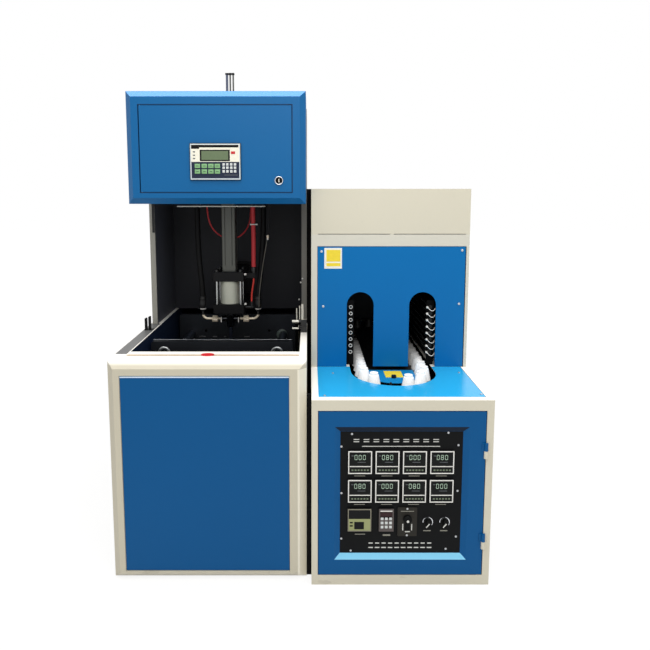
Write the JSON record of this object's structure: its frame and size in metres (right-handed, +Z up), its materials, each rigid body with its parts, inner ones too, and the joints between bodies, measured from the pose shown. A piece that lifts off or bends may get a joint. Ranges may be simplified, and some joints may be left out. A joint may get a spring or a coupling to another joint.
{
  "type": "stretch blow moulding machine",
  "caption": "Stretch blow moulding machine: a blowing cabinet with a mould well and an overhanging control head beside a preform heating cabinet with an oven, carrier loop and control door.",
  "frame": {"origin": "on the floor, at the middle of the overall width and depth", "axes": "+Z up, -Y the front with the control panels, +X from the blowing unit to the heating unit"},
  "size_m": [1.536, 1.641, 2.174],
  "materials": {
    "cream_paint": "satin",
    "blue_paint": "satin",
    "grey_paint": "satin",
    "dark_paint": "matt",
    "black_plastic": "matt",
    "dark_blue_plastic": "satin",
    "white_plastic": "gloss",
    "grey_plastic": "matt",
    "steel": "machined",
    "chrome": "polished",
    "aluminium": "anodised",
    "light_aluminium": "anodised",
    "brass": "plated",
    "red_rubber": "satin",
    "black_rubber": "satin",
    "cast_iron": "oiled",
    "lamp_glass": "clear"
  },
  "bodies": {
    "frame": {"blower_frame": "cream_paint", "blower_front_panel": "blue_paint", "clamp_cover": "cream_paint", "cabinet_seal": "black_rubber", "upper_frame": "grey_paint", "bay_lining": "dark_paint", "head_box": "blue_paint", "control_gear": "grey_plastic", "hinge_pins": "steel", "stretch_cylinder": "aluminium", "seal_cylinder_heads": "dark_paint", "seal_cylinder_barrel": "light_aluminium", "seal_tie_rods": "steel", "cylinder_bracket": "dark_paint", "blow_manifold": "chrome", "air_fittings": "brass", "left_blow_hose": "black_rubber", "right_blow_hose": "black_rubber", "red_loop_hose": "red_rubber", "red_feed_hose": "red_rubber", "red_air_tube": "red_rubber", "grey_lead": "black_rubber", "support_plates": "cast_iron", "lifting_eyes": "steel", "guard_posts": "dark_paint", "position_switch": "steel", "heater_base": "cream_paint", "heater_shelf": "blue_paint", "oven_cabinet": "cream_paint", "oven_top_cover": "cream_paint", "oven_front_plate": "blue_paint", "centre_cover": "blue_paint", "loop_frame": "cast_iron", "sprockets": "cast_iron", "carrier_chain": "steel", "preform_holders": "white_plastic", "heating_lamps": "lamp_glass", "lamp_racks": "steel", "drive_motor": "cast_iron"},
    "head_door": {"head_door": "blue_paint", "operator_panel": "dark_blue_plastic", "lock_ring": "chrome"},
    "lock_plug": {"lock_plug": "chrome"},
    "stretch": {"stretch_rod": "steel", "stretch_yoke": "dark_paint"},
    "nozzle": {"blow_nozzle": "steel"},
    "front_clamp": {"front_platen": "steel", "tie_bars": "chrome", "clamp_cylinder": "cast_iron"},
    "rear_clamp": {"rear_platen": "steel", "clamp_rod": "chrome"},
    "control_door": {"control_door": "blue_paint", "control_panel": "black_plastic", "temperature_controllers": "black_plastic", "panel_meters": "black_plastic", "speed_controller": "black_plastic"},
    "speed_knob": {"speed_knob": "black_plastic"},
    "speed_switch": {"speed_switch": "black_plastic"},
    "left_selector": {"left_selector": "black_plastic"},
    "right_selector": {"right_selector": "black_plastic"}
  },
  "joints": [
    {"name": "head_door_hinge", "type": "hinge", "parent": "frame", "child": "head_door", "pos_m": [-0.685, -0.4745, 1.7715], "axis": [0, 0, 1], "range_deg": [-110, 0]},
    {"name": "lock_turn", "type": "hinge", "parent": "head_door", "child": "lock_plug", "pos_m": [-0.092, -0.4785, 1.637], "axis": [0, 1, 0], "range_deg": [0, 90]},
    {"name": "stretch_slide", "type": "slide", "parent": "frame", "child": "stretch", "axis": [0, 0, 1], "range_m": [-0.45, 0]},
    {"name": "nozzle_slide", "type": "slide", "parent": "frame", "child": "nozzle", "axis": [0, 0, 1], "range_m": [-0.05, 0]},
    {"name": "front_clamp_slide", "type": "slide", "parent": "frame", "child": "front_clamp", "axis": [0, 1, 0], "range_m": [0, 0.1]},
    {"name": "rear_clamp_slide", "type": "slide", "parent": "frame", "child": "rear_clamp", "axis": [0, 1, 0], "range_m": [-0.1, 0]},
    {"name": "control_door_hinge", "type": "hinge", "parent": "frame", "child": "control_door", "pos_m": [0.7385, -0.8125, 0.388], "axis": [0, 0, 1], "range_deg": [0, 120]},
    {"name": "speed_knob_turn", "type": "hinge", "parent": "control_door", "child": "speed_knob", "pos_m": [0.434, -0.7965, 0.281], "axis": [0, 1, 0], "range_deg": [0, 280]},
    {"name": "speed_switch_rock", "type": "hinge", "parent": "control_door", "child": "speed_switch", "pos_m": [0.434, -0.7995, 0.245], "axis": [1, 0, 0], "range_deg": [-8, 8]},
    {"name": "left_selector_turn", "type": "hinge", "parent": "control_door", "child": "left_selector", "pos_m": [0.5172, -0.7965, 0.265], "axis": [0, 1, 0], "range_deg": [-45, 45]},
    {"name": "right_selector_turn", "type": "hinge", "parent": "control_door", "child": "right_selector", "pos_m": [0.585, -0.7965, 0.265], "axis": [0, 1, 0], "range_deg": [-45, 45]}
  ],
  "couplings": [
    {"joint": "rear_clamp_slide", "follows": "front_clamp_slide", "ratio": -1}
  ]
}
